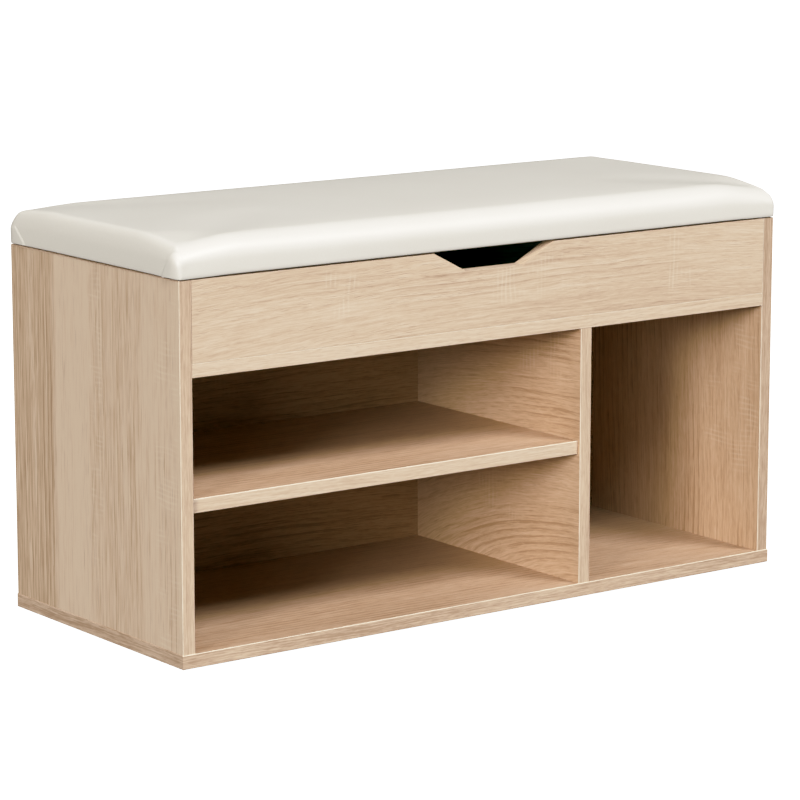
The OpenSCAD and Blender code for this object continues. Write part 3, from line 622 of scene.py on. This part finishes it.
# The seat pad's shape. Its ends are rounded tighter than its long edges, its upright corners get
# rounder towards the top, and its bottom rim is drawn in and hangs down a little.
PAD_EDGE_RADIUS = 23 * MM  # the long top edges' rounding
PAD_END_SHARE = 0.5  # the ends are rounded over this share of it
PAD_CORNER_RADIUS = 9 * MM  # the upright corners, at the bottom
PAD_TOP_CORNER_RADIUS = 15 * MM  # the same at the top
PAD_REAR_RIGHT_RADIUS = 26 * MM  # and at the top of the rear right corner
PAD_CORNER_CHANGE = (12 * MM, 2 * MM)  # from this far above the bottom to this far below the top
PAD_END_FADE = (15 * MM, 50 * MM)  # the tighter rounding fades from this far in, over this length
PAD_TUCK = 0.7 * MM  # how far the bottom rim is drawn in
PAD_TUCK_HEIGHT = 3 * MM
PAD_TUCK_DEPTH = 4 * MM
PAD_CROWN = 1.0 * MM  # how much higher the middle stands
PAD_DROOP = 0.9 * MM  # how far the bottom rim hangs down
PAD_DROOP_HEIGHT = 6 * MM
PAD_CORNER_DROOP = 0.9 * MM  # how much further at the corners
PAD_FRONT_DROPS = (8.7 * MM, 11.0 * MM)  # how much lower the top's corners are: left, right
PAD_REAR_DROPS = (4.8 * MM, 0.0)
PAD_CORNER_REACH = 75 * MM  # how far from a corner the drops and the droop are felt


def pad_shape(points, half_x, half_y, low, high):
    """Rounds a box of points into the pad: upright corners, top edges, tucked rim, crown, low corners."""
    x, y, z = points.T
    radius = PAD_EDGE_RADIUS
    height = z - low
    above, below = PAD_CORNER_CHANGE
    widening = smooth((height - above) / (high - low - above - below))
    top_radius = np.where((x > 0) & (y > 0), PAD_REAR_RIGHT_RADIUS, PAD_TOP_CORNER_RADIUS)
    corner = PAD_CORNER_RADIUS + (top_radius - PAD_CORNER_RADIUS) * widening
    dx, dy = np.abs(x) - (half_x - corner), np.abs(y) - (half_y - corner)
    both = (dx > 0) & (dy > 0)
    reach = np.hypot(np.maximum(dx, 0), np.maximum(dy, 0))
    share = np.where(both, np.maximum(dx, dy) / np.maximum(reach, 1e-9), 1.0)
    dx, dy = np.where(both, dx * share, dx), np.where(both, dy * share, dy)
    normal_x = np.where(both, dx, np.where(dx > dy, 1.0, 0.0))
    normal_y = np.where(both, dy, np.where(dx > dy, 0.0, 1.0))
    size = np.maximum(np.hypot(normal_x, normal_y), 1e-9)
    normal_x, normal_y = normal_x / size, normal_y / size
    inset = corner - np.where(both, np.hypot(dx, dy), np.maximum(dx, dy))
    out = radius - inset
    up = z - (high - radius)
    edge = (out > 0) & (up > 0)
    span = np.maximum(np.hypot(out, up), 1e-9)
    ratio = np.where(edge, np.maximum(out, up) / span, 1.0)
    shift = np.where(edge, out - out * ratio, 0.0)
    z = np.where(edge, high - radius + up * ratio, z)
    tuck = PAD_TUCK * (1 - smooth(height / PAD_TUCK_HEIGHT))
    shift = shift + smooth(1 - inset / PAD_TUCK_DEPTH) * tuck
    px = (half_x - corner + dx) - normal_x * shift
    py = (half_y - corner + dy) - normal_y * shift
    fx, fy = np.clip(px / half_x, 0, 1), np.clip(py / half_y, 0, 1)
    crown = PAD_CROWN * (1 - fx**6) * (1 - fy**2.6)
    z = z + crown * smooth((z - (high - radius)) / radius)
    from_end = half_x - px
    inward = smooth((from_end - PAD_END_FADE[0]) / PAD_END_FADE[1])
    px = half_x - from_end * (PAD_END_SHARE + (1 - PAD_END_SHARE) * inward)
    near = np.clip(1 - np.hypot(half_x - px, half_y - py) / PAD_CORNER_REACH, 0, 1) ** 1.3
    drop = np.where(y < 0, np.where(x < 0, *PAD_FRONT_DROPS), np.where(x < 0, *PAD_REAR_DROPS))
    droop = (PAD_DROOP + PAD_CORNER_DROOP * near) * (1 - smooth(height / PAD_DROOP_HEIGHT))
    z = z - drop * near * smooth((z - low) / (high - low)) - droop
    return np.stack([np.copysign(px, x), np.copysign(py, y), z], 1)


def make_mesh(name, points, faces, smooth_shading=True):
    mesh = bpy.data.meshes.new(name)
    mesh.from_pydata([tuple(p) for p in points], [], faces)
    mesh.validate()
    mesh.update()
    if smooth_shading:
        mesh.shade_smooth()
    return mesh


def add_object(name, mesh):
    obj = bpy.data.objects.new(name, mesh)
    bpy.context.scene.collection.objects.link(obj)
    return obj


def evaluated_mesh(obj):
    """The mesh with its modifiers applied, as a new mesh."""
    depsgraph = bpy.context.evaluated_depsgraph_get()
    return bpy.data.meshes.new_from_object(obj.evaluated_get(depsgraph))


def coordinates(mesh):
    flat = np.zeros(len(mesh.vertices) * 3)
    mesh.vertices.foreach_get("co", flat)
    return flat.reshape(-1, 3)


def inflate(points, faces, held, pressure, frames, cap):
    """Cloth under pressure. Returns the points after it, scaled back if any moved past the cap."""
    obj = add_object("pad_simulation", make_mesh("pad_simulation", points, faces))
    group = obj.vertex_groups.new(name="held")
    group.add(held, 1.0, "REPLACE")
    cloth = obj.modifiers.new("cloth", "CLOTH")
    settings = cloth.settings
    settings.vertex_group_mass = "held"
    settings.quality = 5
    settings.mass = 0.3
    settings.tension_stiffness = 60
    settings.compression_stiffness = 60
    settings.shear_stiffness = 30
    settings.bending_stiffness = 4
    settings.use_pressure = True
    settings.uniform_pressure_force = pressure
    settings.effector_weights.gravity = 0
    cloth.point_cache.frame_start = 1
    cloth.point_cache.frame_end = frames
    for number in range(1, frames + 1):
        bpy.context.scene.frame_set(number)
    result = evaluated_mesh(obj)
    moved = coordinates(result) - points
    bpy.data.objects.remove(obj)
    bpy.data.meshes.remove(result)
    bpy.context.scene.frame_set(1)
    furthest = float(np.linalg.norm(moved, axis=1).max())
    return points + moved * min(1.0, cap / furthest)


BOARD_GAP = 0.15 * MM  # between the lid board and its pocket in the pad
LIP_IN = 6 * MM  # from the pad's rim to the flat of its underside
LINING_LAP = 14 * MM  # how far the folded cover runs in behind the lining's edge
POCKET_STEP = 8 * MM  # how far in from the pocket's wall its ledge has one more loop


def pad_loops(grid, points):
    """Adds the underside lip and the pocket that holds the lid board. Returns points and faces."""
    rim = np.array([(grid.xs[i], grid.ys[j]) for i, j in grid.rim])
    half = np.array([grid.xs[-1], grid.ys[-1]])
    unit = rim / half
    bottom = SEAT_LOW.z
    mouth = np.array([LINING_HIGH.x - LINING_LAP, LINING_HIGH.y - LINING_LAP])
    board = np.array([LID_HIGH.x + BOARD_GAP, LID_HIGH.y + BOARD_GAP])
    outline = points[grid.row(0)][:, :2]
    lip = outline * (1 - LIP_IN / half)
    levels = [
        (lip, bottom),
        (unit * mouth, bottom),
        (unit * mouth, LID_LOW.z),
        (unit * (board - POCKET_STEP), LID_LOW.z),
        (unit * board, LID_LOW.z),
        (unit * board, (LID_LOW.z + LID_HIGH.z) / 2),
        (unit * board, LID_HIGH.z),
    ]
    out, faces = list(points), list(grid.faces)
    previous = grid.row(0)
    for plan, z in levels:
        start = len(out)
        out += [(x, y, z) for x, y in plan]
        loop = list(range(start, start + len(rim)))
        faces += [tuple(reversed(face)) for face in loop_faces(previous, loop)]
        previous = loop
    nx, ny = len(grid.xs), len(grid.ys)
    inner = {grid.rim[p]: previous[p] for p in range(len(rim))}
    for i in range(1, nx - 1):
        for j in range(1, ny - 1):
            inner[i, j] = len(out)
            out.append((grid.xs[i] / half[0] * board[0], grid.ys[j] / half[1] * board[1], LID_HIGH.z))
    faces += [
        (inner[i, j], inner[i, j + 1], inner[i + 1, j + 1], inner[i + 1, j])
        for i in range(nx - 1)
        for j in range(ny - 1)
    ]
    return np.array(out), faces


def crease_edges(mesh, first):
    """Full creases on the edges whose points both come after the given one."""
    mesh.attributes.new("crease_edge", "FLOAT", "EDGE")
    values = [float(min(edge.vertices) >= first) for edge in mesh.edges]
    mesh.attributes["crease_edge"].data.foreach_set("value", values)


def subdivided(name, points, faces, first_creased):
    """The mesh smoothed by one subdivision, its last loops kept sharp."""
    mesh = make_mesh(name, points, faces)
    crease_edges(mesh, first_creased)
    obj = add_object(name, mesh)
    modifier = obj.modifiers.new("subdivision", "SUBSURF")
    modifier.levels = modifier.render_levels = 1
    result = evaluated_mesh(obj)
    bpy.data.objects.remove(obj)
    return result


# Corner folds: the front and rear cover wraps round each corner and ends in a slanting edge on
# the end face. Each has the side, the front or rear, the fold's height, its width at the bottom and
# how far its edge stands off the face.
FOLDS = [
    (-1, -1, 29 * MM, 20 * MM, 2.2 * MM),
    (-1, 1, 22 * MM, 25 * MM, 0.8 * MM),
    (1, -1, 28 * MM, 25 * MM, 1.8 * MM),
    (1, 1, 22 * MM, 26 * MM, 1.3 * MM),
]
FOLD_SINK = 0.7 * MM  # how deep the flap's inner skin lies in the pad
FOLD_LEAD = 3 * MM  # how far before the corner's rounding the flap begins
FOLD_TIP = 0.5 * MM  # its width at the top
FOLD_BASE = 0.25 * MM  # how deep its outer skin starts below the pad's surface
FOLD_RAY = 30 * MM  # how far out the rays to the pad's surface start
FOLD_CORNER_RADIUS = PAD_CORNER_RADIUS + 2 * MM


def corner_fold(tree, side, end, height, width, stand, columns=30, rows=14):
    """One fold as a closed thin shell that follows the pad's surface.

    It rises off the pad over the bend, is drawn in again at its free edge and fades at the top.
    """
    half_x, half_y = SEAT_HIGH.x, SEAT_HIGH.y
    radius = FOLD_CORNER_RADIUS
    arc = radius * math.pi / 2
    mirror = Vector((side, end, 1))
    outer, inner = [], []
    for r in range(rows + 1):
        z = SEAT_LOW.z + height * r / rows
        reach = width * (1 - r / rows) ** 0.9 + FOLD_TIP
        for c in range(columns + 1):
            t = c / columns
            run = -arc - FOLD_LEAD + (arc + FOLD_LEAD + reach) * t
            if run >= 0:
                plan = Vector((half_x, half_y - radius - run, 0))
                normal = Vector((1, 0, 0))
            elif run >= -arc:
                angle = -run / radius
                normal = Vector((math.cos(angle), math.sin(angle), 0))
                plan = Vector((half_x - radius, half_y - radius, 0)) + normal * radius
            else:
                normal = Vector((0, 1, 0))
                plan = Vector((half_x - radius + (run + arc), half_y, 0))
            start = (plan + normal * FOLD_RAY) * mirror + Vector((0, 0, z))
            hit, facing, _, _ = tree.ray_cast(start, -normal * mirror)
            fade = 1 - float(smooth((r / rows - 0.7) / 0.3))
            swell = float(smooth((t - 0.15) / 0.55) * (1 - 0.85 * smooth((t - 0.91) / 0.09)))
            lift = fade * stand * swell - FOLD_BASE * (1 - t * fade)
            outer.append(hit + facing * lift)
            inner.append(hit - facing * FOLD_SINK)
    faces = shell_faces(rows, columns)
    if side * end > 0:
        faces = [tuple(reversed(face)) for face in faces]
    return outer + inner, faces


SWELL = 0.6 * MM  # room left on each side for the cover to swell into
RISE = 5.0 * MM  # and on top, with the crown


def make_seat():
    """The upholstered pad with its cover, hollow where the lid board sits."""
    half_x, half_y = SEAT_HIGH.x - SWELL, SEAT_HIGH.y - SWELL
    low, high = SEAT_LOW.z, SEAT_HIGH.z - RISE
    rim_rows = [0, 1.2, 2.8, 5.0, 8.0]
    side_rows = np.arange(11.5, 1000 * (high - low) - 2, 3.5)
    rows = np.append(low + np.concatenate([rim_rows, side_rows]) * MM, high)
    spacing = dict(fine=4 * MM, span=40 * MM, coarse=10 * MM)
    grid = PadGrid(graded(half_x, **spacing), graded(half_y, **spacing), rows)
    points = pad_shape(grid.points, half_x, half_y, low, high)
    closed = grid.faces + [tuple(reversed(grid.row(0)))]
    held = [v for k in range(3) for v in grid.row(k)]
    points = inflate(points, closed, held, pressure=0.4, frames=20, cap=3.5 * MM)
    first_creased = len(points) + len(grid.rim)
    points, faces = pad_loops(grid, points)
    mesh = subdivided("seat_cushion", points, faces, first_creased)
    tree = BVHTree.FromPolygons([v.co for v in mesh.vertices], [p.vertices for p in mesh.polygons])
    points = [v.co.copy() for v in mesh.vertices]
    faces = [tuple(p.vertices) for p in mesh.polygons]
    for fold in FOLDS:
        fold_points, fold_faces = corner_fold(tree, *fold)
        faces += [tuple(len(points) + v for v in face) for face in fold_faces]
        points += fold_points
    cushion = add_object("seat_cushion", make_mesh("seat_cushion", points, faces))
    cushion.data.set_sharp_from_angle(angle=math.radians(50))
    cushion.data.materials.append(faux_leather())
    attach(cushion, "lid")
    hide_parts("seat_cover", "seat_foam")


LINING_THICKNESS = 0.42 * MM
LINING_SLACK = 0.25 * MM
SLACK_REACH = 20 * MM  # how far in from the edge the slack dies away
STAPLE_PITCH = 54 * MM
LINING_CELLS = (192, 76)


def make_lining():
    """Black cloth stapled under the lid: held up along its edge, a little slack between staples."""
    low, high = LINING_LOW, LINING_HIGH
    size_x, size_y = high.x - low.x, high.y - low.y
    nx, ny = LINING_CELLS
    points = []
    for depth in (0.0, LINING_THICKNESS):
        for i in range(nx + 1):
            for j in range(ny + 1):
                x, y = low.x + size_x * i / nx, low.y + size_y * j / ny
                from_end, from_side = min(x - low.x, high.x - x), min(y - low.y, high.y - y)
                along = x if from_side < from_end else y
                wave = math.sin(math.pi * along / STAPLE_PITCH) ** 2
                slack = wave * math.exp(-min(from_end, from_side) / SLACK_REACH)
                points.append((x, y, low.z + depth - LINING_SLACK * slack))
    mesh = make_mesh("lid_lining_cloth", points, shell_faces(nx, ny))
    lining = add_object("lid_lining_cloth", mesh)
    lining.data.set_sharp_from_angle(angle=math.radians(50))
    lining.data.materials.append(lining_cloth())
    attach(lining, "lid")
    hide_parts("lid_lining")


# --- Stage -------------------------------------------------------------------------


def make_floor():
    """Pale floor. It shows bright, and throws little light back into the open case."""
    s = Shader("studio_floor")
    speck = s.noise(s.object_coordinates(), scale=3.0, detail=2.0)
    shown = s.mix(speck, rgb(0.40, 0.40, 0.40), rgb(0.42, 0.42, 0.42))
    camera = s.add("ShaderNodeLightPath").outputs["Is Camera Ray"]
    size = 30.0
    corners = [(-size, -size, 0), (size, -size, 0), (size, size, 0), (-size, size, 0)]
    floor = add_object("studio_floor", make_mesh("studio_floor", corners, [(0, 1, 2, 3)], False))
    material = s.finish(
        Base_Color=s.mix(camera, rgb(0.03, 0.03, 0.03), shown),
        Roughness=0.9,
        Specular_IOR_Level=0.1,
        Emission_Color=rgb(1.0, 1.0, 1.0),
        Emission_Strength=s.math("MULTIPLY", camera, 1.6),
    )
    floor.data.materials.append(material)


def sun(name, toward, power, angle, mirrored=True, colour=(1.0, 1.0, 1.0)):
    """A distant softbox in the given direction: its angle is the width it is seen under."""
    light = bpy.data.lights.new(name, "SUN")
    light.energy = power
    light.color = colour
    light.angle = math.radians(angle)
    obj = bpy.data.objects.new(name, light)
    bpy.context.scene.collection.objects.link(obj)
    obj.rotation_mode = "QUATERNION"
    obj.rotation_quaternion = Vector(toward).to_track_quat("Z", "Y")
    obj.visible_glossy = mirrored


BLACK_LEVEL = (0.006, 0.001, 0.001)
WHITE_LEVEL = (1.4, 1.4, 1.4)
SHOULDER = ((0.40, 0.56), (0.50, 0.68), (0.60, 0.78), (0.80, 0.91))
GREEN_SHADOWS = ((0.02, 0.02), (0.06, 0.056), (0.15, 0.142), (0.25, 0.247), (0.40, 0.40))
BLUE_SHADOWS = ((0.02, 0.016), (0.06, 0.046), (0.12, 0.117), (0.20, 0.208), (0.40, 0.40))


def set_view():
    """A film-like view: bright light rolls off to white, blacks a little down, shadows warmer."""
    view = bpy.context.scene.view_settings
    view.view_transform = "Standard"
    view.use_curve_mapping = True
    mapping = view.curve_mapping
    mapping.black_level = BLACK_LEVEL
    mapping.white_level = WHITE_LEVEL
    _, green, blue, all_channels = mapping.curves
    for place, value in SHOULDER:
        all_channels.points.new(place, value)
    for point in list(all_channels.points)[:2]:
        point.handle_type = "VECTOR"
    for curve, places in ((green, GREEN_SHADOWS), (blue, BLUE_SHADOWS)):
        for place, value in places:
            curve.points.new(place, value)
        for point in curve.points:
            point.handle_type = "VECTOR"
    mapping.update()


def make_lights():
    """Two low lights at the left, two high ones in front and a weak one behind."""
    sun("left_low", (-0.86, -0.45, 0.24), 2.20, 15.0, colour=(1.0, 0.965, 0.925))
    sun("front_low", (-0.77, -0.62, 0.17), 0.50, 18.0)
    sun("right_high", (0.32, -0.58, 0.75), 2.65, 22.0)
    sun("front_high", (-0.32, -0.60, 0.73), 1.40, 20.0)
    sun("rear", (0.55, 0.80, 0.25), 0.7, 50.0, mirrored=False)


def make_world():
    """White behind the object, and almost no light from it."""
    world = bpy.data.worlds.new("studio")
    bpy.context.scene.world = world
    world.use_nodes = True
    tree = world.node_tree
    tree.nodes.clear()
    seen = tree.nodes.new("ShaderNodeBackground")
    lit = tree.nodes.new("ShaderNodeBackground")
    seen.inputs[0].default_value = rgb(1.0, 1.0, 1.0)
    seen.inputs[1].default_value = 1.5
    lit.inputs[0].default_value = rgb(1.0, 0.99, 0.98)
    lit.inputs[1].default_value = 0.01
    path = tree.nodes.new("ShaderNodeLightPath")
    mix = tree.nodes.new("ShaderNodeMixShader")
    out = tree.nodes.new("ShaderNodeOutputWorld")
    tree.links.new(path.outputs["Is Camera Ray"], mix.inputs[0])
    tree.links.new(lit.outputs[0], mix.inputs[1])
    tree.links.new(seen.outputs[0], mix.inputs[2])
    tree.links.new(mix.outputs[0], out.inputs[0])


def make_camera():
    """Camera at the left front, level in roll, looking a little down."""
    yaw, pitch = math.radians(36.52), math.radians(10.74)
    camera = bpy.data.cameras.new("camera")
    camera.sensor_width = 36.0
    camera.lens = 155.4
    camera.clip_start, camera.clip_end = 0.1, 60.0
    obj = bpy.data.objects.new("camera", camera)
    bpy.context.scene.collection.objects.link(obj)
    obj.location = (-2.2463, -3.0287, 0.9268)
    ahead = Vector((math.sin(yaw) * math.cos(pitch), math.cos(yaw) * math.cos(pitch), -math.sin(pitch)))
    obj.rotation_mode = "QUATERNION"
    obj.rotation_quaternion = ahead.to_track_quat("-Z", "Y")
    bpy.context.scene.camera = obj


make_camera()
make_lights()
make_world()
set_view()
make_floor()
paint_boards()
paint_bands()
paint_fittings()
make_seat()
make_lining()
